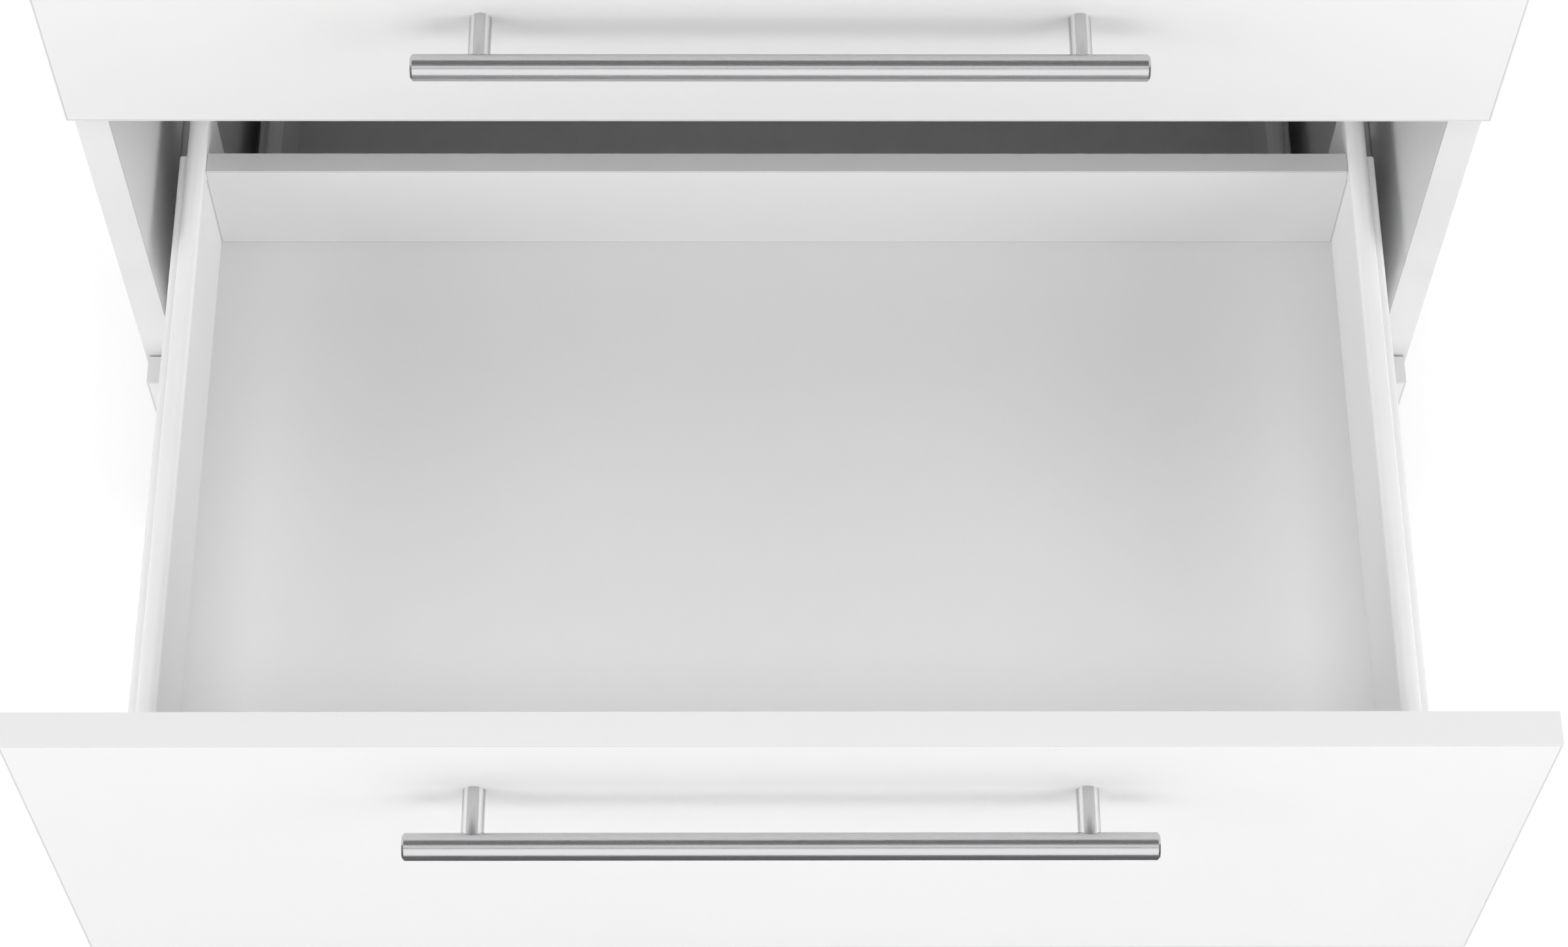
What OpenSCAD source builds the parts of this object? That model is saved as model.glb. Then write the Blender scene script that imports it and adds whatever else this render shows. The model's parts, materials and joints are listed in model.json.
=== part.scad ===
// Kitchen drawer base cabinet, 800 mm wide, with three drawers on roller runners.
// The middle drawer stands open at the stop of its runners and the others are shut.
// X runs to the right seen from the front, Y runs to the back and Z runs up.
// The feet stand on z = 0, and the origin is under the middle of the whole outline.

/* [Cabinet] */
// Width over the side panels
cabinet_w = 800; // [600:10:1000]
// Height of the side panels
carcass_h = 720; // [700:5:780]
// Thickness of the cabinet boards
board_t = 19; // [16:0.5:22]
// Thickness of the rear panel
rear_t = 3; // [2.5:0.5:5]
// Distance from the rear edges to the rear panel
rear_inset = 20; // [15:1:25]
// Depth of the grooves that hold the rear panel
groove_deep = 8; // [5:0.5:10]
// Space between a shut drawer and the rear panel
rear_room = 38; // [30:1:80]
// Depth of each top rail
rail_d = 100; // [85:5:120]

/* [Feet and plinth] */
// Height of the cabinet above the floor
foot_h = 100; // [95:1:120]
// Diameter of a foot's threaded stem
stem_d = 30; // [24:1:34]
// Diameter of a foot's pad
pad_d = 52; // [45:1:60]
// Height of a foot's pad
pad_h = 8; // [6:1:10]
// Wall of a foot's socket tube
socket_wall = 3; // [2:0.5:4]
// Diameter of a foot's flange under the cabinet
flange_d = 70; // [60:2:80]
// Distance from the side of the cabinet to a foot
foot_side = 60; // [50:5:100]
// Distance from the rear of the cabinet to the rear feet
foot_rear = 80; // [60:5:120]
// Distance from the cabinet's front edges back to the plinth board
plinth_back = 50; // [40:5:70]
// Gap above and below the plinth board
plinth_air = 2; // [1:0.5:5]

/* [Fronts] */
// Thickness of the drawer fronts
front_t = 19; // [16:0.5:22]
// Height of the top drawer's front
top_front_h = 140; // [136:1:160]
// Gap between two fronts
front_gap = 3; // [2:0.5:4]
// Gap above the top front
top_gap = 3; // [2:0.5:4]
// Distance from the cabinet's outer side to a front's edge
front_side = 2; // [1:0.5:3]
// Gap between a shut front and the cabinet's edges
front_air = 1; // [0.5:0.5:2]

/* [Handles] */
// Diameter of a handle's bar
bar_d = 14.5; // [12:0.5:16]
// Length of a handle's bar
bar_l = 392; // [360:2:460]
// Chamfer on the ends of a handle's bar
bar_chamfer = 1.2; // [0.5:0.1:2]
// Diameter of a handle's posts
post_d = 12; // [10:0.5:12]
// Distance between a handle's screws
handle_hole_gap = 320; // [256:32:320]
// Distance from a front's face to the middle of its bar
bar_reach = 31.5; // [30:0.5:40]
// Distance from a lower front's upper edge down to its handle
handle_drop = 57; // [45:1:70]
// Distance from the top front's upper edge down to its handle
top_handle_drop = 44; // [35:1:60]

/* [Drawer boxes] */
// Length of the steel sides
side_l = 500; // [450:10:550]
// Length of the steel sides behind a drawer's back board
side_tail = 44; // [40:1:50]
// Width of a steel side
side_w = 16; // [15:0.5:18]
// Gap between a steel side and the cabinet's wall
side_gap = 13; // [12.5:0.5:14]
// Steel sheet of sides and runners
sheet_t = 1.2; // [1:0.1:1.4]
// Outside radius of the bends in sides and runners
bend_r = 2.5; // [2:0.1:3]
// Width of the rolled bead on a side
bead_w = 12; // [10:0.5:13]
// Depth of the rolled bead on a side
bead_deep = 12; // [10:0.5:14]
// Corner radius of the rolled bead
bead_r = 5; // [3:0.5:5]
// Overhang of the bead on the inside of a side
bead_over = 1.5; // [1:0.5:2]
// Drop from the bead to the shoulder outside it
shoulder_drop = 9; // [7:0.5:10]
// Height of a side above the drawer's floor
side_h = 88; // [80:1:90]
// Thickness of the drawer's bottom and back boards
tray_t = 13; // [12:0.5:16]
// Drop from the bead to the top of the drawer's back
back_drop = 6; // [3:1:12]
// Width of the ledge that carries the bottom board
ledge_w = 18; // [14:1:24]
// Height of the floor above the front's lower edge
floor_lift = 32; // [31:0.5:33]
// Height of the lowest drawer's floor above its front's lower edge
low_floor_lift = 40; // [38:0.5:44]

/* [Runners] */
// Length of a steel side that stays in the cabinet at the stop
overlap_l = 120; // [110:5:160]
// Diameter of the rollers on the drawer sides
rear_roller_d = 24; // [22:0.5:24]
// Width of a roller
roller_w = 7.6; // [6.5:0.1:8]
// Diameter of a roller's pin
pin_d = 6; // [5:0.5:7]
// Clearance between a roller and its pin, on the radius
pin_fit = 0.05; // [0.03:0.01:0.09]
// Gap between a roller and the track that it runs on
run_gap = 0.3; // [0.3:0.05:0.4]
// Play of a roller between the lower and the upper flange
track_play = 0.5; // [0.5:0.05:0.8]
// Width of the flange that a roller runs on
track_w = 11; // [10.5:0.1:11]
// Width of the upper flange that holds a roller down
keeper_w = 9; // [8:0.5:9.5]
// Width of the flange on a drawer side
rider_w = 10; // [9:0.1:10.2]
// Setback of a cabinet runner from the cabinet's front edge
runner_back = 2; // [1:0.5:4]
// Distance from a cabinet runner's front end to its pin
front_pin_in = 14; // [13:0.5:18]
// Distance from a drawer side's rear end to its pin
rear_pin_in = 15; // [14:0.5:18]
// Length of the upper flange's cut-out where a drawer is put in
entry_l = 60; // [50:5:75]

/* [Fittings] */
// Diameter of the wooden dowels
dowel_d = 8; // [6:1:8]
// Diameter of a cam
cam_d = 15; // [12:0.5:15]
// Distance from a board's end to its cam
cam_in = 34; // [24:1:34]
// Diameter of a cam's bolt
cam_bolt_d = 7; // [6:0.5:7]
// Diameter of the runner screws
runner_screw_d = 5; // [4:0.5:6]
// Diameter of the handle screws
handle_screw_d = 4; // [4:0.5:5]
// Diameter of the board screws
board_screw_d = 3.5; // [3:0.25:4]
// Diameter of the holes for fixing a worktop and the next cabinet
fixing_hole_d = 5; // [4:0.5:6]
// Clearance round a fastener in its hole, on the radius
hole_fit = 0.1; // [0.05:0.05:0.2]

/* [Hidden] */
$fn = 48;
eps = 0.01;
cut = 1;

white = [0.94, 0.94, 0.94];
tray_white = [0.88, 0.88, 0.88];
coated = [0.92, 0.92, 0.93];
steel = [0.72, 0.72, 0.74];
zinc = [0.62, 0.63, 0.66];
nylon = [0.85, 0.85, 0.82];
beech = [0.80, 0.66, 0.46];
black = [0.12, 0.12, 0.13];

// Levels and planes of the cabinet
wall_x = cabinet_w / 2 - board_t;
front_back_y = -front_air;
side_end_y = front_back_y + side_l;
rear_y = side_end_y + rear_room;
carcass_d = rear_y + rear_t + rear_inset;
top_z = foot_h + carcass_h;
bottom_top_z = foot_h + board_t;
bottom_mid_z = foot_h + board_t / 2;
rail_mid_z = top_z - board_t / 2;
rear_rail_y = rear_y - rail_d;
groove_fit = 0.5;

// Drawers are counted from the lowest, which is 0, to the top one, which is 2
low_front_h = (carcass_h - top_gap - top_front_h - 2 * front_gap) / 2;
front_hs = [low_front_h, low_front_h, top_front_h];
front_zs = [foot_h, foot_h + low_front_h + front_gap, foot_h + 2 * (low_front_h + front_gap)];
handle_drops = [handle_drop, handle_drop, top_handle_drop];
handle_zs = [for (i = [0:2]) front_zs[i] + front_hs[i] - handle_drops[i]];
floor_zs = [
    front_zs[0] + low_floor_lift,
    front_zs[1] + floor_lift,
    front_zs[2] + floor_lift
];
travel = side_l - overlap_l;
open_by = [0, travel, 0];
front_w = cabinet_w - 2 * front_side;
front_face_y = -front_air - front_t;
bar_y = front_face_y - bar_reach;

// Steel sides, drawn for the right of the drawer
outer_x = wall_x - side_gap;
inner_x = outer_x - side_w;
bead_x = inner_x - bead_over;
inner_l = side_l - tray_t - side_tail;
back_y = front_back_y + inner_l;
back_end_y = back_y + tray_t;
back_h = side_h - back_drop;
bead_fit = 0.3;
side_foot = -tray_t - sheet_t;

// Runners, with heights counted from the drawer's floor
rear_r = rear_roller_d / 2;
rear_pin_z = side_foot + sheet_t + rear_r;
track_z = rear_pin_z - rear_r - run_gap;
keeper_z = rear_pin_z + rear_r + track_play;
rider_z = keeper_z - run_gap - sheet_t;
under_gap = 0.7;
front_roller_d = rider_z - track_z - run_gap - under_gap;
front_r = front_roller_d / 2;
front_pin_z = rider_z - run_gap - front_r;
front_pin_y = runner_back + front_pin_in;
rear_pin_y = side_end_y - rear_pin_in;
runner_over = 1;
runner_end_y = side_end_y + runner_over;
stop_t = 2;
stop_y = rear_pin_y - travel - rear_r - run_gap;
stop_h = 8;
rider_gap = 3;
rider_end_y = rear_pin_y - rear_r - rider_gap;
collar_wall = 2;
collar_d = pin_d + 2 * collar_wall;
collar_h = 1;
axial_play = 0.2;
front_roller_u = sheet_t + collar_h + axial_play;
rear_roller_u = side_gap - collar_h - axial_play - roller_w;
pin_head_h = 0.8;
cheek_over = 6;
open_side_z = rear_pin_z + rear_r + cheek_over;

// Screws of the runners, at steps of the cabinet's row of holes
row_in = 37;
row_step = 32;
runner_screw_steps = [0, 6, 12];
runner_screw_ys = [for (n = runner_screw_steps) row_in + n * row_step];
runner_slot_steps = [4, 8, 10];
runner_slot_ys = [for (n = runner_slot_steps) row_in + n * row_step];
runner_slot_l = 8;
runner_slot_w = 5;
runner_screw_l = 12;
runner_tip_gap = 1;
runner_head_d = 8;
runner_head_h = 1;
runner_cross_deep = 0.6;

// Screws of the drawer boxes
board_head_d = 7;
board_head_h = 2;
head_bevel = 1;
cross_l = 4;
cross_w = 0.8;
cross_deep = 1;
ledge_screw_l = 11;
ledge_screw_in = 60;
ledge_screw_ys = [ledge_screw_in, inner_l / 2, inner_l - ledge_screw_in];
ledge_screw_x = inner_x - ledge_w / 2;
tab_w = 18;
tab_in = 10;
tab_low = tab_in;
tab_high = back_h - tab_in;
tab_screw_l = 11;
tab_screw_in = 12;
tab_screw_zs = [tab_low + tab_screw_in, tab_high - tab_screw_in];
bracket_l = 45;
bracket_t = 2;
bracket_low = 4;
bracket_drop = 14;
bracket_high = side_h - shoulder_drop - bracket_drop;
bracket_screw_l = 13;
bracket_screw_in = 14;
bracket_screw_zs = [bracket_low + bracket_screw_in, bracket_high - bracket_screw_in];
bracket_x = (inner_x + outer_x) / 2;

// Handle fixings
spigot_d = 6;
spigot_l = 5;
spigot_root = 1;
handle_head_d = 9;
handle_head_h = 2.5;
handle_grip = 10;
screw_end_gap = 1;
slot_l = 6;
slot_w = 1.2;
slot_deep = 1;

// Joints of the cabinet's boards
bolt_in_side = 11;
dowel_in_side = 11;
dowel_in_board = 24;
dowel_gap = 1;
cam_under = 4;
cam_deep = board_t / 2 + cam_under;
cam_slot_w = 2;
panel_joint_in = 60;
rail_joint_in = 30;
dowel_step = row_step;
cam_spots = [
    [panel_joint_in, bottom_mid_z],
    [carcass_d - panel_joint_in, bottom_mid_z],
    [rail_joint_in, rail_mid_z],
    [rear_rail_y + rail_joint_in, rail_mid_z]
];
dowel_spots = [
    [panel_joint_in + dowel_step, bottom_mid_z],
    [carcass_d - panel_joint_in - dowel_step, bottom_mid_z],
    [rail_joint_in + dowel_step, rail_mid_z],
    [rear_rail_y + rail_joint_in + dowel_step, rail_mid_z]
];
joining_low = 160;
joining_drop = 220;
joining_holes = [[row_in, foot_h + joining_low], [row_in, top_z - joining_drop]];
worktop_hole_in = 200;
worktop_hole_x = cabinet_w / 2 - worktop_hole_in;
worktop_hole_ys = [rail_d / 2, rear_rail_y + rail_d / 2];

// Feet
flange_gap = 2;
clip_reach = flange_d / 2 + flange_gap;
clip_wall = 3;
clip_h = 18;
clip_drop = 38;
clip_z = foot_h - clip_drop;
clip_neck_w = 12;
clip_plate_w = 48;
clip_plate_t = 3;
clip_plate_over = 6;
clip_mouth = 0.6;
ring_fit = 0.05;
foot_x = cabinet_w / 2 - foot_side;
front_foot_y = plinth_back + board_t + clip_reach;
rear_foot_y = carcass_d - foot_rear;
stem_fit = 0.3;
socket_bore = stem_d + 2 * stem_fit;
socket_d = socket_bore + 2 * socket_wall;
socket_h = 60;
flange_h = 4;
rib_t = 3;
rib_h = 10;
rib_in = 3;
nut_h = 12;
nut_wall = 5;
nut_d = stem_d + 2 * nut_wall;
nut_flute_d = 5;
nut_flute_out = 1;
nut_flute_step = 30;
pad_rim = 4;
cone_h = 3;
stem_gap = 14;
stem_top = foot_h - stem_gap;

// Shift that puts the origin under the middle of the outline, with the middle drawer open
outline_front_y = bar_y - bar_d / 2 - travel;
frame_y = -(carcass_d + outline_front_y) / 2;

module place() {
    translate([0, frame_y, 0]) children();
}

// Mirrored to the left when side is -1
module on_side(side) {
    if (side > 0) children();
    else mirror([1, 0, 0]) children();
}

module along_y(y0, y1) {
    translate([0, y1, 0]) rotate([90, 0, 0]) linear_extrude(y1 - y0) children();
}

module rod_x(x0, x1, y, z, d) {
    translate([x0, y, z]) rotate([0, 90, 0]) cylinder(d = d, h = x1 - x0);
}

module rod_y(y0, y1, x, z, d) {
    translate([x, y0, z]) rotate([-90, 0, 0]) cylinder(d = d, h = y1 - y0);
}

module rod_z(z0, z1, x, y, d) {
    translate([x, y, z0]) cylinder(d = d, h = z1 - z0);
}

// Cabinet boards
module side_panel(side) {
    color(white) on_side(side) difference() {
        translate([wall_x, 0, foot_h]) cube([board_t, carcass_d, carcass_h]);
        translate([wall_x - eps, rear_y, foot_h - eps])
            cube([groove_deep + eps, rear_t, carcass_h + 2 * eps]);
        for (s = cam_spots)
            rod_x(wall_x - eps, wall_x + bolt_in_side, s[0], s[1], cam_bolt_d + 2 * hole_fit);
        for (s = dowel_spots)
            rod_x(wall_x - eps, wall_x + dowel_in_side, s[0], s[1], dowel_d + 2 * hole_fit);
        for (f = floor_zs, y = runner_screw_ys)
            rod_x(wall_x - eps, wall_x + runner_screw_l, y, f + rear_pin_z,
                runner_screw_d + 2 * hole_fit);
        for (h = joining_holes)
            rod_x(wall_x - eps, wall_x + board_t + eps, h[0], h[1], fixing_hole_d);
    }
}

// Bores in a board's ends for cams, bolts and dowels
module end_bores(cams, dowels, z) {
    for (side = [-1, 1]) on_side(side) {
        for (y = cams) {
            rod_x(wall_x - cam_in, wall_x + eps, y, z, cam_bolt_d + 2 * hole_fit);
            rod_z(z - board_t / 2 - eps, z - board_t / 2 + cam_deep, wall_x - cam_in, y,
                cam_d + 2 * hole_fit);
        }
        for (y = dowels)
            rod_x(wall_x - dowel_in_board, wall_x + eps, y, z, dowel_d + 2 * hole_fit);
    }
}

module bottom_panel() {
    color(white) difference() {
        translate([-wall_x, 0, foot_h]) cube([2 * wall_x, carcass_d, board_t]);
        translate([-wall_x - eps, rear_y, bottom_top_z - groove_deep])
            cube([2 * wall_x + 2 * eps, rear_t, groove_deep + eps]);
        end_bores([cam_spots[0][0], cam_spots[1][0]], [dowel_spots[0][0], dowel_spots[1][0]],
            bottom_mid_z);
    }
}

module rail(y0, spot) {
    color(white) difference() {
        translate([-wall_x, y0, top_z - board_t]) cube([2 * wall_x, rail_d, board_t]);
        end_bores([cam_spots[spot][0]], [dowel_spots[spot][0]], rail_mid_z);
        for (side = [-1, 1])
            rod_z(top_z - board_t - eps, top_z + eps, side * worktop_hole_x, y0 + rail_d / 2,
                fixing_hole_d);
    }
}

module front_rail() {
    rail(0, 2);
}

module rear_rail() {
    rail(rear_rail_y, 3);
}

module rear_panel() {
    half_w = wall_x + groove_deep - groove_fit;
    low_z = bottom_top_z - groove_deep + groove_fit;
    color(white) translate([-half_w, rear_y, low_z])
        cube([2 * half_w, rear_t, top_z - low_z]);
}

module cam_housings() {
    color(zinc) for (side = [-1, 1], s = cam_spots) on_side(side) difference() {
        rod_z(s[1] - board_t / 2, s[1] - board_t / 2 + cam_deep, wall_x - cam_in, s[0], cam_d);
        rod_x(wall_x - cam_in, wall_x, s[0], s[1], cam_bolt_d + 2 * hole_fit);
        translate([wall_x - cam_in - cam_d / 3, s[0] - cam_slot_w / 2, s[1] - board_t / 2 - eps])
            cube([cam_d / 1.5, cam_slot_w, cam_slot_w]);
    }
}

module cam_bolts() {
    head_l = 3;
    neck_l = 4;
    neck_in = 1;
    neck_d = cam_bolt_d - 2 * neck_in;
    head_x = wall_x - cam_in;
    color(zinc) for (side = [-1, 1], s = cam_spots) on_side(side) {
        rod_x(head_x, head_x + head_l, s[0], s[1], cam_bolt_d);
        rod_x(head_x + head_l - eps, head_x + head_l + neck_l + eps, s[0], s[1], neck_d);
        rod_x(head_x + head_l + neck_l, wall_x + bolt_in_side, s[0], s[1], cam_bolt_d);
    }
}

module wood_dowels() {
    color(beech) for (side = [-1, 1], s = dowel_spots) on_side(side)
        rod_x(wall_x - dowel_in_board + dowel_gap, wall_x + dowel_in_side - dowel_gap,
            s[0], s[1], dowel_d);
}

// Feet and plinth
module at_feet(ys) {
    for (side = [-1, 1], y = ys) translate([side * foot_x, y, 0]) children();
}

module foot_sockets() {
    color(black) at_feet([front_foot_y, rear_foot_y]) difference() {
        union() {
            translate([0, 0, foot_h - flange_h]) cylinder(d = flange_d, h = flange_h);
            translate([0, 0, foot_h - socket_h]) cylinder(d = socket_d, h = socket_h);
            for (a = [45:90:315]) rotate([0, 0, a])
                translate([socket_d / 2 - rib_in / 2, -rib_t / 2, foot_h - flange_h - rib_h])
                    cube([(flange_d - socket_d) / 2 - rib_in, rib_t, rib_h + eps]);
        }
        translate([0, 0, foot_h - socket_h - eps])
            cylinder(d = socket_bore, h = socket_h - flange_h + eps);
    }
}

module foot(side, y) {
    color(black) translate([side * foot_x, y, 0]) {
        cylinder(d = pad_d, h = pad_h);
        translate([0, 0, pad_h - eps]) cylinder(d1 = pad_d - 2 * pad_rim, d2 = nut_d, h = cone_h);
        difference() {
            translate([0, 0, pad_h]) cylinder(d = nut_d, h = nut_h);
            for (a = [0:nut_flute_step:359]) rotate([0, 0, a])
                translate([nut_d / 2 + nut_flute_out, 0, pad_h + cone_h])
                    cylinder(d = nut_flute_d, h = nut_h);
        }
        cylinder(d = stem_d, h = stem_top);
    }
}

module plinth_board() {
    color(white) translate([-cabinet_w / 2, plinth_back, plinth_air])
        cube([cabinet_w, board_t, foot_h - 2 * plinth_air]);
}

module plinth_clips() {
    ring_bore = socket_d + 2 * ring_fit;
    ring_d = ring_bore + 2 * clip_wall;
    plate_y = -clip_reach;
    mouth_w = socket_d * clip_mouth;
    color(black) at_feet([front_foot_y]) translate([0, 0, clip_z - clip_h / 2]) {
        difference() {
            union() {
                cylinder(d = ring_d, h = clip_h);
                translate([-clip_neck_w / 2, plate_y + eps, 0])
                    cube([clip_neck_w, clip_reach - socket_d / 2, clip_h]);
            }
            translate([0, 0, -eps]) cylinder(d = ring_bore, h = clip_h + 2 * eps);
            translate([-mouth_w / 2, 0, -eps]) cube([mouth_w, ring_d, clip_h + 2 * eps]);
        }
        translate([-clip_plate_w / 2, plate_y, -clip_plate_over])
            cube([clip_plate_w, clip_plate_t, clip_h + 2 * clip_plate_over]);
    }
}

// Handles, with the drawer shut
module handle_bar_shape(i) {
    z = handle_zs[i];
    color(steel) difference() {
        translate([0, bar_y, z]) rotate([0, 90, 0]) union() {
            cylinder(d = bar_d, h = bar_l - 2 * bar_chamfer, center = true);
            for (end = [0, 1]) mirror([0, 0, end])
                translate([0, 0, bar_l / 2 - bar_chamfer - eps])
                    cylinder(d1 = bar_d, d2 = bar_d - 2 * bar_chamfer, h = bar_chamfer + eps);
        }
        for (side = [-1, 1])
            rod_y(bar_y, bar_y + bar_d, side * handle_hole_gap / 2, z, spigot_d + 2 * hole_fit);
    }
}

module handle_posts_shape(i) {
    z = handle_zs[i];
    color(steel) for (side = [-1, 1]) difference() {
        union() {
            difference() {
                rod_y(bar_y, front_face_y, side * handle_hole_gap / 2, z, post_d);
                rod_x(-cabinet_w / 2, cabinet_w / 2, bar_y, z, bar_d + hole_fit);
            }
            rod_y(bar_y + bar_d / 2 - spigot_l, bar_y + bar_d / 2 + spigot_root,
                side * handle_hole_gap / 2, z, spigot_d);
        }
        rod_y(front_face_y - handle_grip - screw_end_gap, front_face_y + eps,
            side * handle_hole_gap / 2, z, handle_screw_d + 2 * hole_fit);
    }
}

module handle_screws_shape(i) {
    z = handle_zs[i];
    color(zinc) for (side = [-1, 1]) {
        rod_y(front_face_y - handle_grip, front_back_y + eps, side * handle_hole_gap / 2, z,
            handle_screw_d);
        difference() {
            rod_y(front_back_y, front_back_y + handle_head_h, side * handle_hole_gap / 2, z,
                handle_head_d);
            translate([side * handle_hole_gap / 2 - slot_l / 2, front_back_y + handle_head_h - slot_deep,
                z - slot_w / 2]) cube([slot_l, 2 * slot_deep, slot_w]);
        }
    }
}

// Drawer front with the holes for its handle and brackets
module front_shape(i) {
    color(white) difference() {
        translate([-front_w / 2, front_face_y, front_zs[i]])
            cube([front_w, front_t, front_hs[i]]);
        for (side = [-1, 1]) {
            rod_y(front_face_y - eps, front_back_y + eps, side * handle_hole_gap / 2,
                handle_zs[i], handle_screw_d + 2 * hole_fit);
            for (z = bracket_screw_zs)
                rod_y(front_back_y - bracket_screw_l, front_back_y + eps, side * bracket_x,
                    floor_zs[i] + z, board_screw_d + 2 * hole_fit);
        }
    }
}

// Rectangle with its corners rounded by r
module round_square(x0, x1, z0, z1, r) {
    translate([x0 + r, z0]) square([x1 - x0 - 2 * r, z1 - z0]);
    translate([x0, z0 + r]) square([x1 - x0, z1 - z0 - 2 * r]);
    for (x = [x0 + r, x1 - r], z = [z0 + r, z1 - r]) translate([x, z]) circle(r = r);
}

// Outline of a steel side drawn in by d: a hollow wall and the rolled bead on its top
module side_outline(d) {
    round_square(inner_x + d, outer_x - d, side_foot + d, side_h - shoulder_drop - d, bend_r - d);
    translate([bead_x + d, side_h - bead_deep + d])
        square([bead_w - 2 * d, bead_deep - bead_r - d]);
    for (x = [bead_x + bead_r, bead_x + bead_w - bead_r])
        translate([x, side_h - bead_r]) circle(r = bead_r - d);
    translate([bead_x + bead_r, side_h - bead_deep + d])
        square([bead_w - 2 * bead_r, bead_deep - 2 * d]);
}

// One formed steel side, with the flange that rides on the cabinet's roller,
// the ledge under the bottom board and the tab behind the back board
module steel_side(side, i) {
    color(coated) on_side(side) translate([0, 0, floor_zs[i]]) difference() {
        union() {
            along_y(front_back_y, side_end_y) {
                difference() {
                    side_outline(0);
                    side_outline(sheet_t);
                }
                translate([outer_x - sheet_t / 2, rider_z])
                    square([rider_w + sheet_t / 2, sheet_t]);
            }
            along_y(front_back_y, back_end_y)
                translate([inner_x - ledge_w, side_foot]) square([ledge_w + bend_r, sheet_t]);
            translate([inner_x - tab_w, back_end_y, tab_low])
                cube([tab_w + eps, sheet_t, tab_high - tab_low]);
            rod_x(outer_x - sheet_t / 2, outer_x + collar_h, rear_pin_y, rear_pin_z, collar_d);
            rod_x(outer_x - sheet_t / 2, wall_x - rear_roller_u, rear_pin_y, rear_pin_z, pin_d);
        }
        translate([outer_x + eps, rider_end_y, rider_z - cut])
            cube([rider_w + cut, side_l, sheet_t + 2 * cut]);
        translate([inner_x + sheet_t, back_end_y, open_side_z])
            cube([side_w, side_l, side_h - shoulder_drop - open_side_z]);
        for (y = ledge_screw_ys)
            rod_z(side_foot - cut, side_foot + sheet_t + cut, ledge_screw_x, front_back_y + y,
                board_screw_d + 2 * hole_fit);
        for (z = tab_screw_zs)
            rod_y(back_end_y - cut, back_end_y + sheet_t + cut, inner_x - tab_w / 2, z,
                board_screw_d + 2 * hole_fit);
    }
}

module tray_base_shape(i) {
    color(tray_white) translate([0, 0, floor_zs[i]]) difference() {
        translate([-inner_x, front_back_y, -tray_t])
            cube([2 * inner_x, inner_l + tray_t, tray_t]);
        for (side = [-1, 1], y = ledge_screw_ys)
            rod_z(-tray_t - eps, -tray_t + ledge_screw_l, side * ledge_screw_x,
                front_back_y + y, board_screw_d + 2 * hole_fit);
    }
}

module tray_back_shape(i) {
    color(tray_white) translate([0, 0, floor_zs[i]]) difference() {
        translate([-inner_x, back_y, 0]) cube([2 * inner_x, tray_t, back_h]);
        for (side = [-1, 1]) on_side(side)
            translate([bead_x - bead_fit, back_y - eps, side_h - bead_deep - bead_fit])
                cube([bead_w, tray_t + 2 * eps, bead_deep]);
        for (side = [-1, 1], z = tab_screw_zs)
            rod_y(back_end_y - tab_screw_l, back_end_y + eps, side * (inner_x - tab_w / 2), z,
                board_screw_d + 2 * hole_fit);
    }
}

// Bracket inside each steel side, screwed to the front
module front_brackets_shape(i) {
    hollow_w = side_w - 2 * sheet_t;
    color(zinc) for (side = [-1, 1]) on_side(side) translate([0, 0, floor_zs[i]]) difference() {
        union() {
            translate([inner_x + sheet_t, front_back_y, bracket_low])
                cube([hollow_w, bracket_t, bracket_high - bracket_low]);
            translate([outer_x - sheet_t - bracket_t, front_back_y, bracket_low])
                cube([bracket_t, bracket_l, bracket_high - bracket_low]);
        }
        for (z = bracket_screw_zs)
            rod_y(front_back_y - eps, front_back_y + bracket_t + eps, bracket_x, z,
                board_screw_d + 2 * hole_fit);
    }
}

module board_screw(l) {
    translate([0, 0, -l]) cylinder(d = board_screw_d, h = l + eps);
    difference() {
        cylinder(d1 = board_head_d, d2 = board_head_d - 2 * head_bevel, h = board_head_h);
        for (a = [0, 90]) rotate([0, 0, a])
            translate([-cross_l / 2, -cross_w / 2, board_head_h - cross_deep])
                cube([cross_l, cross_w, cross_deep + cut]);
    }
}

module tray_screws_shape(i) {
    ledge_z = side_foot;
    color(zinc) for (side = [-1, 1]) on_side(side) translate([0, 0, floor_zs[i]]) {
        for (y = ledge_screw_ys)
            translate([ledge_screw_x, front_back_y + y, ledge_z]) rotate([180, 0, 0])
                board_screw(ledge_screw_l);
        for (z = tab_screw_zs)
            translate([inner_x - tab_w / 2, back_end_y + sheet_t, z]) rotate([-90, 0, 0])
                board_screw(tab_screw_l);
        for (z = bracket_screw_zs)
            translate([bracket_x, front_back_y + bracket_t, z]) rotate([-90, 0, 0])
                board_screw(bracket_screw_l);
    }
}

// Channel of a cabinet runner: a wide lower flange to run on and a narrow one above
module runner_outline() {
    far_x = wall_x - 2 * track_w;
    difference() {
        round_square(far_x, wall_x, track_z - sheet_t, keeper_z + sheet_t, bend_r);
        round_square(far_x - bend_r, wall_x - sheet_t, track_z, keeper_z, bend_r - sheet_t);
        translate([far_x - cut, track_z - sheet_t - cut])
            square([track_w + cut, keeper_z - track_z + 2 * (sheet_t + cut)]);
        translate([far_x - cut, keeper_z - cut])
            square([2 * track_w - keeper_w + cut, sheet_t + 2 * cut]);
    }
}

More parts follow.
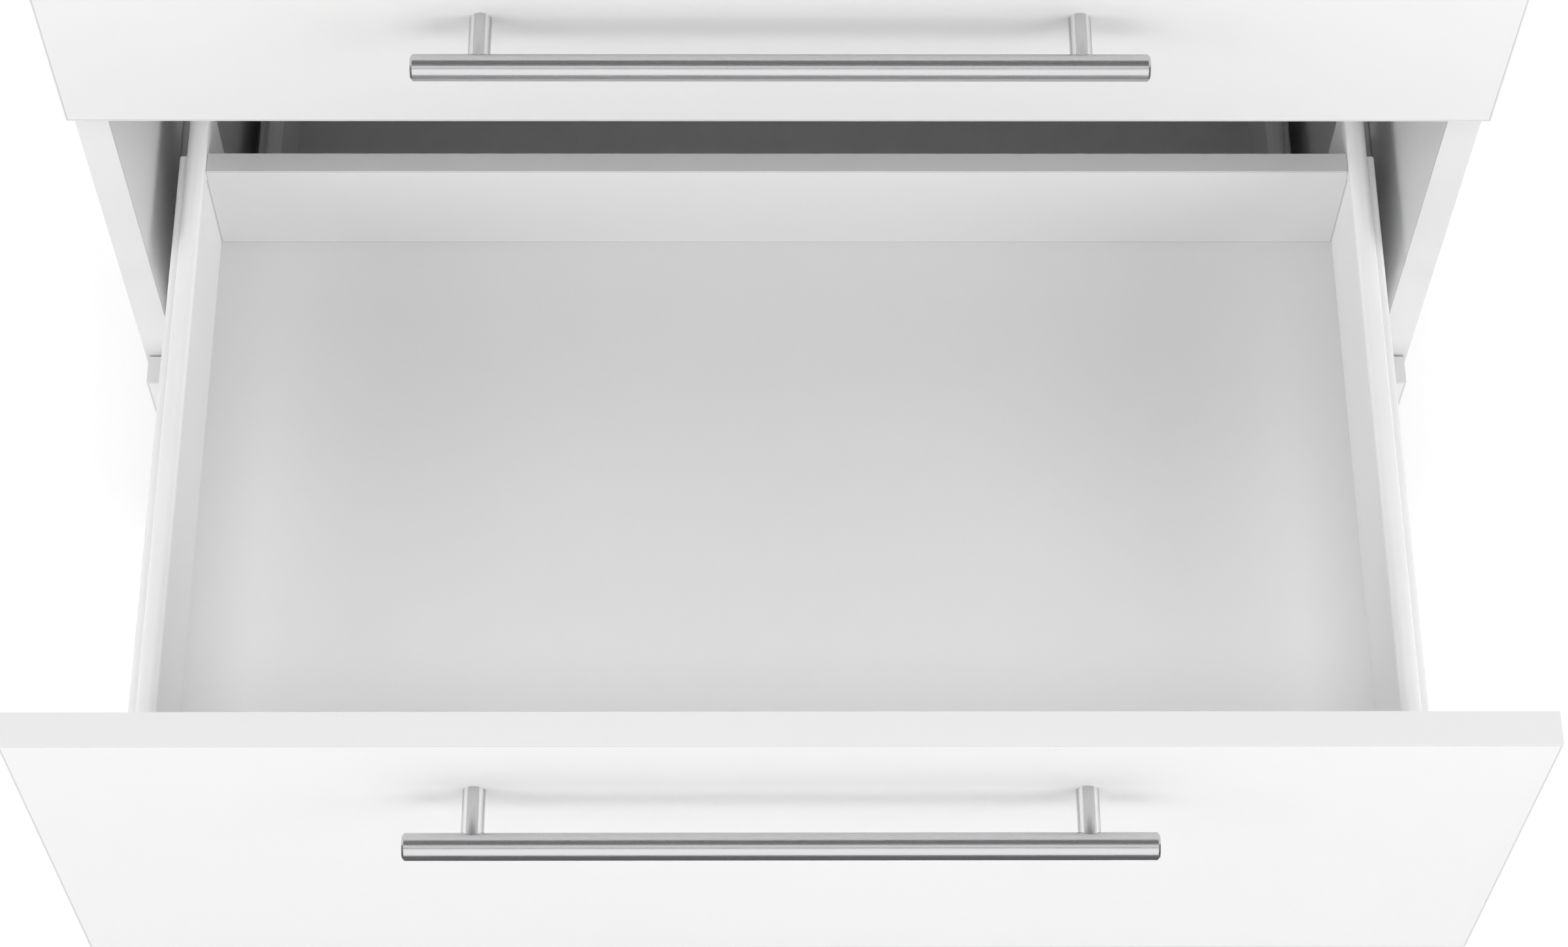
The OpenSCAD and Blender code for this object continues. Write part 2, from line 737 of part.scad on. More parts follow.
// Cabinet runner: a formed channel with a pin for the front roller and a stop for the rear one
module cabinet_runner(side, i) {
    color(coated) on_side(side) translate([0, 0, floor_zs[i]]) difference() {
        union() {
            along_y(runner_back, runner_end_y) runner_outline();
            translate([wall_x - keeper_w, stop_y - stop_t, rear_pin_z - stop_h / 2])
                cube([keeper_w, stop_t, stop_h]);
            rod_x(wall_x - front_roller_u + axial_play, wall_x - sheet_t / 2,
                front_pin_y, front_pin_z, collar_d);
            rod_x(wall_x - front_roller_u - roller_w - axial_play - pin_head_h,
                wall_x - sheet_t / 2, front_pin_y, front_pin_z, pin_d);
            rod_x(wall_x - front_roller_u - roller_w - axial_play - pin_head_h,
                wall_x - front_roller_u - roller_w - axial_play, front_pin_y, front_pin_z,
                collar_d);
        }
        translate([wall_x - keeper_w - cut, runner_back - cut, keeper_z - eps])
            cube([keeper_w + cut - bend_r, entry_l + cut, sheet_t + cut]);
        for (y = runner_screw_ys)
            rod_x(wall_x - sheet_t - cut, wall_x + cut, y, rear_pin_z,
                runner_screw_d + 2 * hole_fit);
        for (y = runner_slot_ys) {
            for (end = [-1, 1])
                rod_x(wall_x - sheet_t - cut, wall_x + cut, y + end * runner_slot_l / 2, rear_pin_z,
                    runner_slot_w);
            translate([wall_x - sheet_t - cut, y - runner_slot_l / 2, rear_pin_z - runner_slot_w / 2])
                cube([sheet_t + 2 * cut, runner_slot_l, runner_slot_w]);
        }
    }
}

module runner_screws() {
    head_x = wall_x - sheet_t;
    color(zinc) for (side = [-1, 1], f = floor_zs, y = runner_screw_ys) on_side(side)
        difference() {
            union() {
                rod_x(head_x - eps, wall_x + runner_screw_l - runner_tip_gap, y, f + rear_pin_z,
                    runner_screw_d);
                rod_x(head_x - runner_head_h, head_x, y, f + rear_pin_z, runner_head_d);
            }
            for (a = [0, 90]) translate([head_x - runner_head_h, y, f + rear_pin_z])
                rotate([a, 0, 0]) translate([-cut, -cross_l / 2, -cross_w / 2])
                    cube([cut + runner_cross_deep, cross_l, cross_w]);
        }
}

// Nylon roller: a tyre, a thin web and a hub, centred on its pin
module roller(x, y, z, d) {
    rim_t = 2.5;
    hub_wall = 2;
    hub_d = pin_d + 2 * hub_wall;
    web_t = 2.4;
    chamfer = 0.6;
    color(nylon) translate([x, y, z]) rotate([0, 90, 0]) rotate_extrude()
        polygon([
            [pin_d / 2 + pin_fit, 0], [hub_d / 2, 0], [hub_d / 2, roller_w / 2 - web_t / 2],
            [d / 2 - rim_t, roller_w / 2 - web_t / 2], [d / 2 - rim_t, 0], [d / 2 - chamfer, 0],
            [d / 2, chamfer], [d / 2, roller_w - chamfer], [d / 2 - chamfer, roller_w],
            [d / 2 - rim_t, roller_w], [d / 2 - rim_t, roller_w / 2 + web_t / 2],
            [hub_d / 2, roller_w / 2 + web_t / 2], [hub_d / 2, roller_w],
            [pin_d / 2 + pin_fit, roller_w]
        ]);
}

module front_rollers_shape(i) {
    for (side = [-1, 1]) on_side(side)
        roller(wall_x - front_roller_u - roller_w, front_pin_y, floor_zs[i] + front_pin_z,
            front_roller_d);
}

module rear_rollers_shape(i) {
    for (side = [-1, 1]) on_side(side)
        roller(wall_x - rear_roller_u - roller_w, rear_pin_y, floor_zs[i] + rear_pin_z,
            rear_roller_d);
}

// Pieces that move with drawer i stand where the drawer is pulled out to
module on_drawer(i) {
    place() translate([0, -open_by[i], 0]) children();
}

module drawer_piece(kind, i) {
    if (kind == "front") on_drawer(i) front_shape(i);
    if (kind == "handle_bar") on_drawer(i) handle_bar_shape(i);
    if (kind == "handle_posts") on_drawer(i) handle_posts_shape(i);
    if (kind == "handle_screws") on_drawer(i) handle_screws_shape(i);
    if (kind == "side_left") on_drawer(i) steel_side(-1, i);
    if (kind == "side_right") on_drawer(i) steel_side(1, i);
    if (kind == "tray_base") on_drawer(i) tray_base_shape(i);
    if (kind == "tray_back") on_drawer(i) tray_back_shape(i);
    if (kind == "front_brackets") on_drawer(i) front_brackets_shape(i);
    if (kind == "tray_screws") on_drawer(i) tray_screws_shape(i);
    if (kind == "rear_rollers") on_drawer(i) rear_rollers_shape(i);
    if (kind == "front_rollers") place() front_rollers_shape(i);
    if (kind == "runner_left") place() cabinet_runner(-1, i);
    if (kind == "runner_right") place() cabinet_runner(1, i);
}

place() side_panel(-1);  // side_panel_left
place() side_panel(1);  // side_panel_right
place() bottom_panel();
place() rear_panel();
place() front_rail();
place() rear_rail();
place() cam_housings();
place() cam_bolts();
place() wood_dowels();
place() runner_screws();
place() foot_sockets();
place() foot(-1, front_foot_y);  // foot_front_left
place() foot(1, front_foot_y);  // foot_front_right
place() foot(-1, rear_foot_y);  // foot_rear_left
place() foot(1, rear_foot_y);  // foot_rear_right
place() plinth_board();
place() plinth_clips();
drawer_piece("front", 0);  // bottom_front
drawer_piece("handle_bar", 0);  // bottom_handle_bar
drawer_piece("handle_posts", 0);  // bottom_handle_posts
drawer_piece("handle_screws", 0);  // bottom_handle_screws
drawer_piece("side_left", 0);  // bottom_side_left
drawer_piece("side_right", 0);  // bottom_side_right
drawer_piece("tray_base", 0);  // bottom_tray_base
drawer_piece("tray_back", 0);  // bottom_tray_back
drawer_piece("front_brackets", 0);  // bottom_front_brackets
drawer_piece("tray_screws", 0);  // bottom_tray_screws
drawer_piece("runner_left", 0);  // bottom_runner_left
drawer_piece("runner_right", 0);  // bottom_runner_right
drawer_piece("front_rollers", 0);  // bottom_front_rollers
drawer_piece("rear_rollers", 0);  // bottom_rear_rollers
drawer_piece("front", 1);  // middle_front
drawer_piece("handle_bar", 1);  // middle_handle_bar
drawer_piece("handle_posts", 1);  // middle_handle_posts
drawer_piece("handle_screws", 1);  // middle_handle_screws
drawer_piece("side_left", 1);  // middle_side_left
drawer_piece("side_right", 1);  // middle_side_right
drawer_piece("tray_base", 1);  // middle_tray_base
drawer_piece("tray_back", 1);  // middle_tray_back
drawer_piece("front_brackets", 1);  // middle_front_brackets
drawer_piece("tray_screws", 1);  // middle_tray_screws
drawer_piece("runner_left", 1);  // middle_runner_left
drawer_piece("runner_right", 1);  // middle_runner_right
drawer_piece("front_rollers", 1);  // middle_front_rollers
drawer_piece("rear_rollers", 1);  // middle_rear_rollers
drawer_piece("front", 2);  // top_front
drawer_piece("handle_bar", 2);  // top_handle_bar
drawer_piece("handle_posts", 2);  // top_handle_posts
drawer_piece("handle_screws", 2);  // top_handle_screws
drawer_piece("side_left", 2);  // top_side_left
drawer_piece("side_right", 2);  // top_side_right
drawer_piece("tray_base", 2);  // top_tray_base
drawer_piece("tray_back", 2);  // top_tray_back
drawer_piece("front_brackets", 2);  // top_front_brackets
drawer_piece("tray_screws", 2);  // top_tray_screws
drawer_piece("runner_left", 2);  // top_runner_left
drawer_piece("runner_right", 2);  // top_runner_right
drawer_piece("front_rollers", 2);  // top_front_rollers
drawer_piece("rear_rollers", 2);  // top_rear_rollers
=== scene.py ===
import json
import math

import bpy
from mathutils import Matrix, Vector


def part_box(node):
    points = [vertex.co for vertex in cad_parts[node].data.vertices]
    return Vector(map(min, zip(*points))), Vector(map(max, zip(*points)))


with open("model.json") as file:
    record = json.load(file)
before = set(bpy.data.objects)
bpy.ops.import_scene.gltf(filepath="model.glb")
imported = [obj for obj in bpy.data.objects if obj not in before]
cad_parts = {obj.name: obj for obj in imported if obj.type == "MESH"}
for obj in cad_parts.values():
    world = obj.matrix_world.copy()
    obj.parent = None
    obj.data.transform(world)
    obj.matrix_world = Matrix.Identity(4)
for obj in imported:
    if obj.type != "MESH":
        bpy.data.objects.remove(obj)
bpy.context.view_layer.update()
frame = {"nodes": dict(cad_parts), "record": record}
SCENE = bpy.context.scene
RECORD = frame["record"]
NODES = frame["nodes"]
DRAWERS = ("bottom", "middle", "top")
WHITE = (1.0, 1.0, 1.0, 1.0)

# Camera, found from the edges of the fronts, the side panels and the drawer; focal length in
# pixels of the photograph, which is PHOTO_W pixels wide
PHOTO_W = 2400
FOCAL_PX = 5370.0
SENSOR_W = 36.0
PITCH, YAW, ROLL = math.radians(61.42), 0.0143, 0.0122
CAMERA_X = -0.0109
CAMERA_BEFORE_CABINET = 1.1305
CAMERA_OVER_TOP_FRONT = 1.627
FAR_CLIP = 50.0

# Lamps: name, place, target, width and height in metres, power in watts
AIM = (0.0, -0.2, 0.5)
FRONT_LAMPS = (
    ("front_wide", (0.0, -3.3, 1.55), AIM, (3.4, 1.0), 25.0),
    ("front_low", (0.0, -3.4, 0.35), (0.0, -0.2, 0.6), (3.4, 0.5), 2.5),
)
REAR_LAMPS = (
    ("rear", (0.0, 3.0, 1.8), (0.0, 0.4, 0.4), (3.0, 1.2), 45.0),
    ("zenith", (0.0, -0.45, 3.2), (0.0, -0.45, 0.0), (3.0, 1.0), 12.0),
    ("zenith_rear", (0.0, 0.55, 3.2), (0.0, 0.55, 0.0), (3.0, 1.0), 16.0),
)
STEEP_LAMP = ("front_steep", (0.0, -1.4, 3.1), AIM, (3.0, 0.9), 23.0)
# Just under the top drawer, for the open drawer's sides
FILL_LAMP = ("fill", (0.0, -0.02, 0.655), (0.0, -0.02, 0.5), (0.72, 0.04), 0.4)
# Cards that are mirrored and light nothing
CARDS = (
    ("card_front", (0.0, -3.3, 1.67), (0.0, -0.49, 0.62), (3.4, 3.5), 41.0),
    ("card_over", (0.0, -0.775, 3.2), (0.0, -0.775, 0.0), (3.4, 2.65), 24.0),
    ("card_rear", (0.0, 3.0, 3.6), (0.0, -0.49, 0.62), (3.4, 2.6), 24.0),
)
# Lamps at the two sides: side, its direction along X, power of its main softbox
SIDES = (("left", -1.0, 36.0), ("right", 1.0, 43.0))
SIDE_X, SIDE_Y, SIDE_Z = 3.0, -1.8, 1.4
SIDE_SIZE = (1.6, 2.0)
BESIDE_X, BESIDE_Y, BESIDE_Z = 3.2, -0.35, 1.5
BESIDE_TARGET = (0.0, -0.35, 0.6)
BESIDE_SIZE = (1.6, 1.0)
BESIDE_POWER = 14.0
# Pieces that a lamp passes by, or alone lights
HANDLE_PIECES = [drawer + piece for drawer in DRAWERS for piece in ("_handle_bar", "_handle_posts")]
SLIT_PIECES = ("bottom_tray_base",)
OPEN_SIDES = ("middle_side_left", "middle_side_right")

# Studio around the object: brightness above the horizon, and share of it below
AMBIENT = 0.22
AMBIENT_BELOW = 0.8
# Stage, large enough that every view's camera stands inside it
FLOOR_SIZE = 28.0
FLOOR_Z = -0.0005
FLOOR_SHADE = 0.95
FLOOR_GLOW_NEAR, FLOOR_GLOW_FAR = 0.12, 0.6
GLOW_FROM, GLOW_TO = 1.6, 4.5
BACKDROP_R = 12.0
BACKDROP_H = 10.0
BACKDROP_SIDES = 96
BACKDROP_GLOW = 0.74

# Board slots of the record: shade of the faces, and of the edge bands as a share of it
BOARDS = {"front_white": (0.762, 0.97), "carcass_white": (0.94, 0.96), "back_white": (0.9, 0.9)}
# Thickness of the edge bands, width and darkness of the seam beside them
BAND_T = 0.001
SEAM_W = 0.0004
SEAM_DEPTH = 0.3
HANDLE_STEEL = (0.63, 0.63, 0.64)
# Posts: direction across X at which the painted reflection stripes on their flanks are brightest,
# and how much brighter the painted stripes are
PAINTED_STRIPE_TURN = 0.68
PAINTED_STRIPE_GAIN = 1.4
# Radii of the arrises, in metres
FRONT_ARRIS = 0.0008
PLINTH_ARRIS = 0.0006
PANEL_ARRIS = 0.0004
TRAY_ARRIS = 0.0003
ARRIS_ANGLE = math.radians(40.0)
WELD_GAP = 0.000005


def add_camera():
    """Camera at the photograph's place, steeply over the open drawer."""
    front_edge_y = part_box("side_panel_left")[0].y
    top_front_low_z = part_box("top_front")[0].z
    data = bpy.data.cameras.new("camera")
    data.sensor_width = SENSOR_W
    data.sensor_fit = "HORIZONTAL"
    data.lens = FOCAL_PX * SENSOR_W / PHOTO_W
    data.clip_end = FAR_CLIP
    camera = bpy.data.objects.new("camera", data)
    SCENE.collection.objects.link(camera)
    level_ahead = Vector((math.sin(YAW), math.cos(YAW), 0.0))
    ahead = level_ahead * math.cos(PITCH) - Vector((0.0, 0.0, math.sin(PITCH)))
    level_right = Vector((math.cos(YAW), -math.sin(YAW), 0.0))
    level_up = level_right.cross(ahead)
    right = level_right * math.cos(ROLL) + level_up * math.sin(ROLL)
    up = level_up * math.cos(ROLL) - level_right * math.sin(ROLL)
    turn = Matrix((right, up, -ahead)).transposed()
    place = Vector((
        CAMERA_X,
        front_edge_y - CAMERA_BEFORE_CABINET,
        top_front_low_z + CAMERA_OVER_TOP_FRONT,
    ))
    camera.matrix_world = Matrix.Translation(place) @ turn.to_4x4()
    SCENE.camera = camera


def add_area(name, place, target, size, power, mirrored=True, lighting=True):
    """Softbox; mirrored says whether surfaces mirror it, lighting whether it lights them."""
    data = bpy.data.lights.new(name, "AREA")
    data.shape = "RECTANGLE"
    data.size, data.size_y = size
    data.energy = power
    light = bpy.data.objects.new(name, data)
    SCENE.collection.objects.link(light)
    light.location = place
    light.rotation_euler = (Vector(target) - Vector(place)).to_track_quat("-Z", "Y").to_euler()
    light.visible_camera = False
    light.visible_glossy = mirrored
    light.visible_diffuse = lighting
    return light


def link_pieces(light, role, names, state):
    """Light linking: the named pieces alone receive a light, or don't receive or block it."""
    group = bpy.data.collections.new(role)
    for name in names:
        group.objects.link(NODES[name])
    for entry in group.collection_objects:
        entry.light_linking.link_state = state
    setattr(light.light_linking, role + "_collection", group)


def add_side_lamps(side, toward, power):
    """Two lamps at one side; the panel next to them would be burnt out, so they skip it."""
    main = add_area(side, (SIDE_X * toward, SIDE_Y, SIDE_Z), AIM, SIDE_SIZE, power)
    beside = add_area("beside_" + side, (BESIDE_X * toward, BESIDE_Y, BESIDE_Z), BESIDE_TARGET,
                      BESIDE_SIZE, BESIDE_POWER, mirrored=False)
    for lamp in (main, beside):
        link_pieces(lamp, "receiver", ("side_panel_" + side,), "EXCLUDE")


def add_lights():
    """Softboxes that light the cabinet, and cards that are only mirrored."""
    for lamp in FRONT_LAMPS:
        add_area(*lamp, mirrored=False)
    for side in SIDES:
        add_side_lamps(*side)
    for lamp in REAR_LAMPS:
        add_area(*lamp, mirrored=False)
    steep = add_area(*STEEP_LAMP, mirrored=False)
    link_pieces(steep, "blocker", HANDLE_PIECES, "EXCLUDE")
    link_pieces(steep, "receiver", SLIT_PIECES, "EXCLUDE")
    fill = add_area(*FILL_LAMP, mirrored=False)
    link_pieces(fill, "receiver", OPEN_SIDES, "INCLUDE")
    for card in CARDS:
        add_area(*card, lighting=False)


def add_world():
    """Even pale studio above the horizon, a little dimmer below it."""
    world = bpy.data.worlds.new("studio")
    world.use_nodes = True
    nodes, links = world.node_tree.nodes, world.node_tree.links
    coords = nodes.new("ShaderNodeTexCoord")
    split = nodes.new("ShaderNodeSeparateXYZ")
    links.new(coords.outputs["Generated"], split.inputs["Vector"])
    height = nodes.new("ShaderNodeMapRange")
    height.inputs["From Min"].default_value = -0.35
    height.inputs["From Max"].default_value = 0.05
    height.inputs["To Min"].default_value = AMBIENT_BELOW
    height.inputs["To Max"].default_value = 1.0
    links.new(split.outputs["Z"], height.inputs["Value"])
    strength = nodes.new("ShaderNodeMath")
    strength.operation = "MULTIPLY"
    strength.inputs[1].default_value = AMBIENT
    links.new(height.outputs["Result"], strength.inputs[0])
    links.new(strength.outputs["Value"], nodes["Background"].inputs["Strength"])
    nodes["Background"].inputs["Color"].default_value = WHITE
    SCENE.world = world
    SCENE.view_settings.view_transform = "Standard"


class Shader:
    """A node material under construction, with the mesh's own coordinates in metres."""

    def __init__(self, name, colour, roughness, metallic=0.0):
        self.material = bpy.data.materials.new(name)
        self.material.use_nodes = True
        self.nodes = self.material.node_tree.nodes
        self.links = self.material.node_tree.links
        self.bsdf = self.nodes["Principled BSDF"]
        self.colour = colour
        self.set("Base Color", (*colour, 1.0))
        self.set("Roughness", roughness)
        self.set("Metallic", metallic)
        coords = self.nodes.new("ShaderNodeTexCoord")
        self.coords = coords.outputs["Object"]
        self.normal = coords.outputs["Normal"]

    def set(self, socket, value):
        """A value that is the same all over the surface."""
        self.bsdf.inputs[socket].default_value = value

    def link(self, source, node, socket):
        self.links.new(source, node.inputs[socket])

    def stretched(self, per_metre):
        """Coordinates whose unit is 1 / per_metre metres, evenly or along each axis."""
        if isinstance(per_metre, float):
            per_metre = (per_metre, per_metre, per_metre)
        mapping = self.nodes.new("ShaderNodeMapping")
        mapping.inputs["Scale"].default_value = per_metre
        self.link(self.coords, mapping, "Vector")
        return mapping.outputs["Vector"]

    def noise(self, per_metre, detail=3.0):
        node = self.nodes.new("ShaderNodeTexNoise")
        node.inputs["Scale"].default_value = 1.0
        node.inputs["Detail"].default_value = detail
        node.inputs["Roughness"].default_value = 0.5
        self.link(self.stretched(per_metre), node, "Vector")
        return node.outputs["Fac"]

    def cells(self, per_metre):
        node = self.nodes.new("ShaderNodeTexVoronoi")
        node.inputs["Scale"].default_value = 1.0
        self.link(self.stretched(per_metre), node, "Vector")
        return node.outputs["Distance"]

    def range(self, source, low, high, start=0.3, end=0.7):
        """Runs from low to high while the source runs from start to end."""
        node = self.nodes.new("ShaderNodeMapRange")
        node.inputs["From Min"].default_value = start
        node.inputs["From Max"].default_value = end
        node.inputs["To Min"].default_value = low
        node.inputs["To Max"].default_value = high
        self.link(source, node, "Value")
        return node.outputs["Result"]

    def math(self, operation, a, b=0.0):
        node = self.nodes.new("ShaderNodeMath")
        node.operation = operation
        for i, value in enumerate((a, b)):
            if isinstance(value, (int, float)):
                node.inputs[i].default_value = value
            else:
                self.links.new(value, node.inputs[i])
        return node.outputs["Value"]

    def part_of(self, vector, letter):
        node = self.nodes.new("ShaderNodeSeparateXYZ")
        self.link(vector, node, "Vector")
        return node.outputs[letter]

    def facing(self, letter):
        """Share of the surface's direction that points along one axis of its mesh."""
        return self.part_of(self.normal, letter)

    def tint(self, source, low, high):
        """Base colour between two shades of the material's colour, by a value from 0 to 1."""
        mix = self.nodes.new("ShaderNodeMix")
        mix.data_type = "RGBA"
        mix.inputs["A"].default_value = (*(c * low for c in self.colour), 1.0)
        mix.inputs["B"].default_value = (*(c * high for c in self.colour), 1.0)
        self.link(source, mix, "Factor")
        self.link(mix.outputs["Result"], self.bsdf, "Base Color")
        return mix.outputs["Result"]

    def darken(self, colour, factor, depth):
        """Multiplies a colour by 1 - depth where factor is 1."""
        mix = self.nodes.new("ShaderNodeMix")
        mix.data_type = "RGBA"
        mix.blend_type = "MULTIPLY"
        mix.inputs["B"].default_value = (1.0 - depth, 1.0 - depth, 1.0 - depth, 1.0)
        self.link(colour, mix, "A")
        self.link(factor, mix, "Factor")
        self.link(mix.outputs["Result"], self.bsdf, "Base Color")
        return mix.outputs["Result"]

    def bump(self, source, height, strength):
        node = self.nodes.new("ShaderNodeBump")
        node.inputs["Distance"].default_value = height
        node.inputs["Strength"].default_value = strength
        self.link(source, node, "Height")
        self.link(node.outputs["Normal"], self.bsdf, "Normal")


def mesh_ends(mesh, letter):
    """Lowest and highest place of a mesh along one axis."""
    places = [vertex.co["XYZ".index(letter)] for vertex in mesh.vertices]
    return min(places), max(places)


def edge_distance(s, mesh, letter):
    """Distance along one axis to the nearer end of a mesh."""
    low, high = mesh_ends(mesh, letter)
    place = s.part_of(s.coords, letter)
    return s.math("MINIMUM", s.math("SUBTRACT", place, low), s.math("SUBTRACT", high, place))


def coated_board(name, mesh, shade, edge_share):
    """Melamine-faced board: pearl grain, darker edge bands, and a hairline beside them."""
    s = Shader(name, (shade, shade, shade), 0.42)
    s.set("Specular IOR Level", 0.2)
    clouding = s.tint(s.range(s.noise(3.0, 4.0), 0.0, 1.0), 0.985, 1.0)
    ends = {letter: mesh_ends(mesh, letter) for letter in "XYZ"}
    across = min(ends, key=lambda letter: ends[letter][1] - ends[letter][0])
    on_face = s.range(s.math("ABSOLUTE", s.facing(across)), 0.0, 1.0, 0.4, 0.6)
    banded = s.darken(clouding, s.math("SUBTRACT", 1.0, on_face), 1.0 - edge_share)
    along = [letter for letter in "XYZ" if letter != across]
    inward = s.math("MINIMUM", *(edge_distance(s, mesh, letter) for letter in along))
    from_seam = s.math("ABSOLUTE", s.math("SUBTRACT", inward, BAND_T))
    line = s.range(from_seam, 1.0, 0.0, 0.5 * SEAM_W, SEAM_W)
    s.darken(banded, s.math("MULTIPLY", line, on_face), SEAM_DEPTH)
    fine = s.noise(900.0, 2.0)
    s.link(s.range(fine, 0.37, 0.48), s.bsdf, "Roughness")
    s.bump(fine, 0.00003, 0.5)
    return s.material


def textured_board(name, colour):
    """Drawer board with a dull, finely pebbled foil."""
    s = Shader(name, colour, 0.6)
    s.tint(s.range(s.noise(6.0, 5.0), 0.0, 1.0), 0.98, 1.0)
    pebbles = s.cells(700.0)
    s.link(s.range(pebbles, 0.5, 0.68, 0.1, 0.7), s.bsdf, "Roughness")
    s.bump(pebbles, 0.00005, 0.6)
    return s.material


def fibreboard(name, colour):
    """Thin lacquered fibreboard, with fibres that lie along Y."""
    s = Shader(name, colour, 0.55)
    fibres = s.noise((220.0, 90.0, 220.0), 5.0)
    s.tint(s.range(fibres, 0.0, 1.0), 0.95, 1.0)
    s.bump(fibres, 0.00005, 0.5)
    return s.material


def powder_coat(name, colour):
    """Epoxy powder on sheet steel: satin, with orange peel, and painted shade that makes it greyer
    where it faces up.
    """
    s = Shader(name, colour, 0.5)
    s.set("Specular IOR Level", 0.3)
    peel = s.noise(380.0, 2.0)
    clouding = s.tint(s.range(s.noise(9.0), 0.0, 1.0), 0.985, 1.0)
    # Painted shade: faces that point up are darkened by a tenth
    s.darken(clouding, s.range(s.facing("Z"), 0.0, 1.0, 0.5, 0.8), 0.1)
    s.link(s.range(peel, 0.45, 0.55), s.bsdf, "Roughness")
    s.bump(peel, 0.00004, 0.4)
    return s.material


def brushed_shader(name, colour, along, roughness=0.24):
    """Stainless steel brushed along one axis: fine streaks in tone, gloss and height."""
    s = Shader(name, colour, roughness, 1.0)
    fine, coarse = [6000.0] * 3, [2600.0] * 3
    axis = "XYZ".index(along)
    fine[axis], coarse[axis] = 60.0, 20.0
    streaks = s.noise(fine, 2.0)
    bands = s.noise(coarse, 2.0)
    both = s.math("ADD", s.math("MULTIPLY", streaks, 0.6), s.math("MULTIPLY", bands, 0.4))
    s.streaked = s.tint(s.range(both, 0.0, 1.0), 0.9, 1.0)
    s.link(s.range(streaks, roughness - 0.04, roughness + 0.06), s.bsdf, "Roughness")
    s.bump(both, 0.000001, 0.7)
    return s


def brushed_post_painted_stripes(name, colour):
    """Brushed post with painted reflection stripes: its two flanks are painted brighter."""
    # Painted reflection stripes: the colour is raised all over, then darkened again away from the
    # two flanks
    s = brushed_shader(name, tuple(PAINTED_STRIPE_GAIN * shade for shade in colour), "Y")
    stripe_offset = s.math("SUBTRACT", s.math("ABSOLUTE", s.facing("X")), PAINTED_STRIPE_TURN)
    off_painted_stripe = s.range(s.math("ABSOLUTE", stripe_offset), 0.0, 1.0, 0.12, 0.2)
    s.darken(s.streaked, off_painted_stripe, 0.29)
    return s.material


def zinc(name, colour):
    """Zinc-plated steel with small spangles."""
    s = Shader(name, colour, 0.35, 1.0)
    spangle = s.noise(260.0, 4.0)
    s.tint(s.range(spangle, 0.0, 1.0), 0.8, 1.0)
    s.link(s.range(spangle, 0.28, 0.45), s.bsdf, "Roughness")
    return s.material


def moulded(name, colour, roughness):
    """Moulded plastic with a fine spark-eroded grain."""
    s = Shader(name, colour, roughness)
    grain = s.noise(1400.0)
    s.tint(s.range(s.noise(40.0), 0.0, 1.0), 0.93, 1.0)
    s.link(s.range(grain, roughness - 0.06, roughness + 0.08), s.bsdf, "Roughness")
    s.bump(grain, 0.00004, 0.5)
    return s.material


def raw_beech(name, colour):
    """Raw beech dowel, with rays along X."""
    s = Shader(name, colour, 0.6)
    rays = s.noise((60.0, 900.0, 900.0), 4.0)
    s.tint(s.range(rays, 0.0, 1.0), 0.78, 1.0)
    s.bump(rays, 0.00006, 0.6)
    return s.material


def make_materials():
    """One material for each slot of the record that isn't a coated board."""
    return {
        "tray_white": textured_board("tray_white", (0.79, 0.79, 0.79)),
        "rear_white": fibreboard("rear_white", (0.74, 0.74, 0.73)),
        "coated_steel": powder_coat("coated_steel", (0.86, 0.86, 0.86)),
        "brushed_handle": brushed_shader("brushed_handle", HANDLE_STEEL, "X").material,
        "zinc_steel": zinc("zinc_steel", (0.56, 0.57, 0.6)),
        "nylon": moulded("nylon", (0.78, 0.78, 0.74), 0.38),
        "black_plastic": moulded("black_plastic", (0.022, 0.022, 0.024), 0.45),
        "beech": raw_beech("beech", (0.6, 0.42, 0.24)),
    }


def dress_nodes(materials):
    """Gives each CAD node the material of its slot; boards and posts get one of their own."""
    # The posts' material carries painted reflection stripes on their flanks
    post_steel_painted_stripes = brushed_post_painted_stripes("brushed_post_painted_stripes", HANDLE_STEEL)
    for part in RECORD["subparts"]:
        name, slot = part["node"], part["material_slot"]
        mesh = NODES[name].data
        if slot in BOARDS:
            material = coated_board(name + "_" + slot, mesh, *BOARDS[slot])
        elif name.endswith("_handle_posts"):
            material = post_steel_painted_stripes
        else:
            material = materials[slot]
        mesh.materials.clear()
        mesh.materials.append(material)


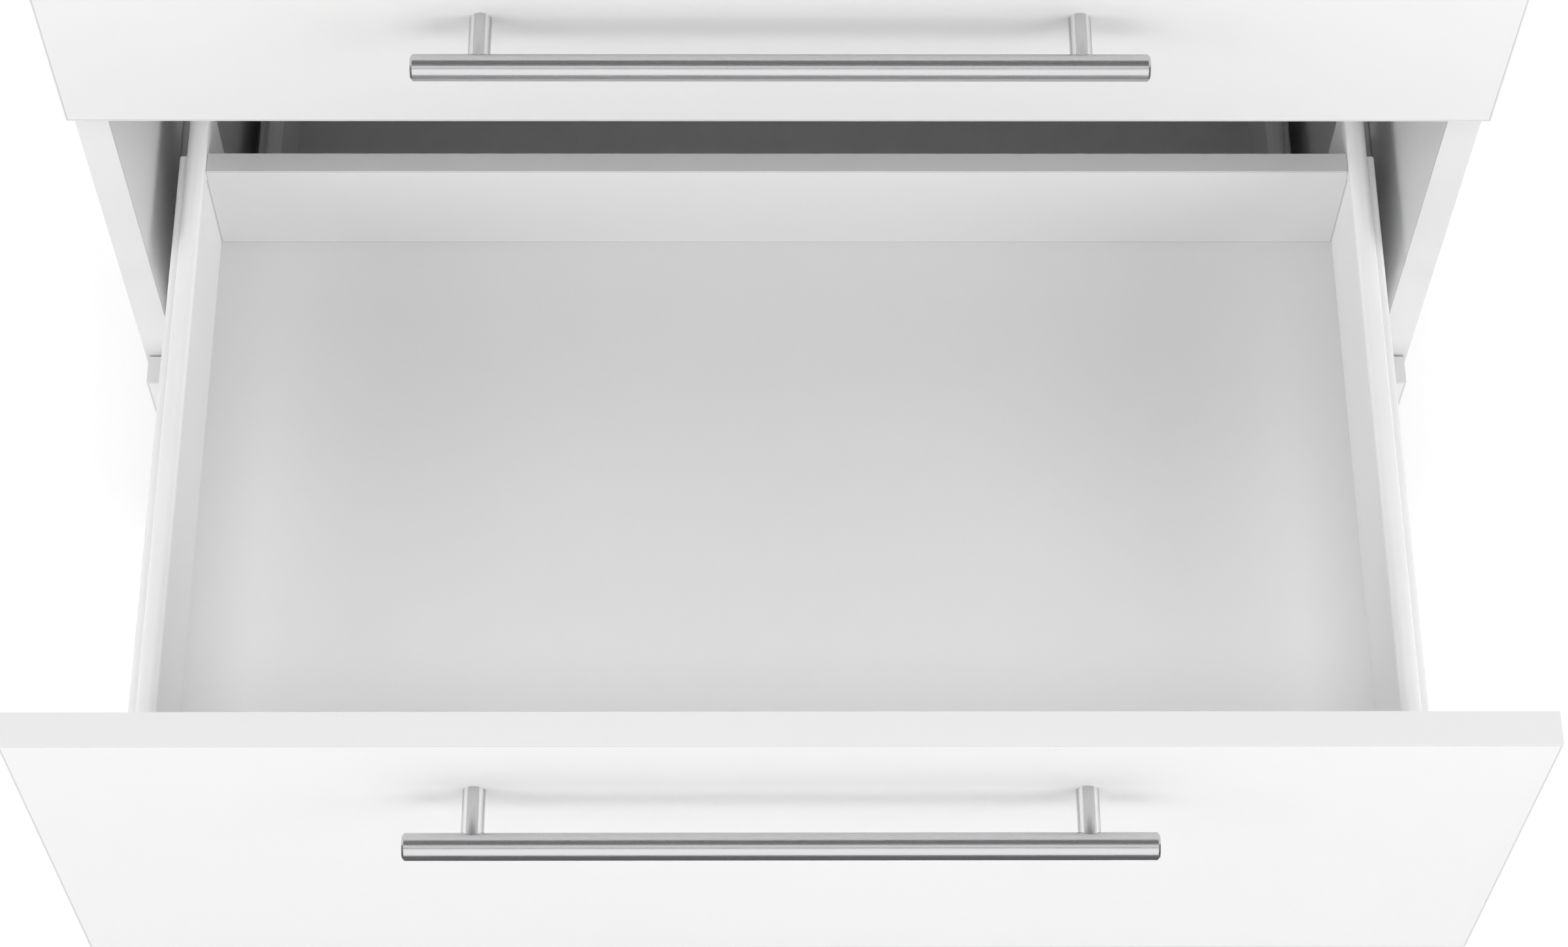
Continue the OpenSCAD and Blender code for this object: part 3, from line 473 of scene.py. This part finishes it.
def soften_edges(name, width):
    """Rounds the arrises of a CAD node, as edge bands and foils have them."""
    piece = NODES[name]
    weld = piece.modifiers.new("weld", "WELD")
    weld.merge_threshold = WELD_GAP
    bevel = piece.modifiers.new("arris", "BEVEL")
    bevel.width = width
    bevel.segments = 2
    bevel.limit_method = "ANGLE"
    bevel.angle_limit = ARRIS_ANGLE
    bevel.harden_normals = True


def soften_boards():
    for drawer in DRAWERS:
        soften_edges(drawer + "_front", FRONT_ARRIS)
        soften_edges(drawer + "_tray_back", TRAY_ARRIS)
        soften_edges(drawer + "_tray_base", TRAY_ARRIS)
    for name in ("side_panel_left", "side_panel_right", "front_rail", "rear_rail", "bottom_panel"):
        soften_edges(name, PANEL_ARRIS)
    soften_edges("plinth_board", PLINTH_ARRIS)


def add_floor():
    """Pale studio floor, glowing a little more far from the object, where no lamp reaches."""
    bpy.ops.mesh.primitive_plane_add(size=FLOOR_SIZE, location=(0.0, 0.0, FLOOR_Z))
    floor = bpy.context.object
    floor.name = "studio_floor"
    s = Shader("studio_floor", (FLOOR_SHADE, FLOOR_SHADE, FLOOR_SHADE), 0.75)
    s.tint(s.range(s.noise(2.0), 0.0, 1.0), 0.99, 1.0)
    s.set("Emission Color", WHITE)
    away = s.nodes.new("ShaderNodeVectorMath")
    away.operation = "LENGTH"
    s.link(s.coords, away, "Vector")
    glow = s.range(away.outputs["Value"], FLOOR_GLOW_NEAR, FLOOR_GLOW_FAR, GLOW_FROM, GLOW_TO)
    s.link(glow, s.bsdf, "Emission Strength")
    floor.data.materials.append(s.material)
    floor.visible_glossy = False


def add_backdrop():
    """Pale wall all round, that closes the view and lights nothing."""
    bpy.ops.mesh.primitive_cylinder_add(
        vertices=BACKDROP_SIDES, radius=BACKDROP_R, depth=BACKDROP_H, end_fill_type="NOTHING",
        location=(0.0, 0.0, 0.49 * BACKDROP_H))
    wall = bpy.context.object
    wall.name = "studio_backdrop"
    s = Shader("studio_backdrop", (0.0, 0.0, 0.0), 1.0)
    s.set("Specular IOR Level", 0.0)
    s.set("Emission Color", WHITE)
    s.set("Emission Strength", BACKDROP_GLOW)
    wall.data.materials.append(s.material)
    for ray in ("visible_diffuse", "visible_glossy", "visible_transmission", "visible_shadow"):
        setattr(wall, ray, False)


add_camera()
add_lights()
add_world()
dress_nodes(make_materials())
soften_boards()
add_floor()
add_backdrop()
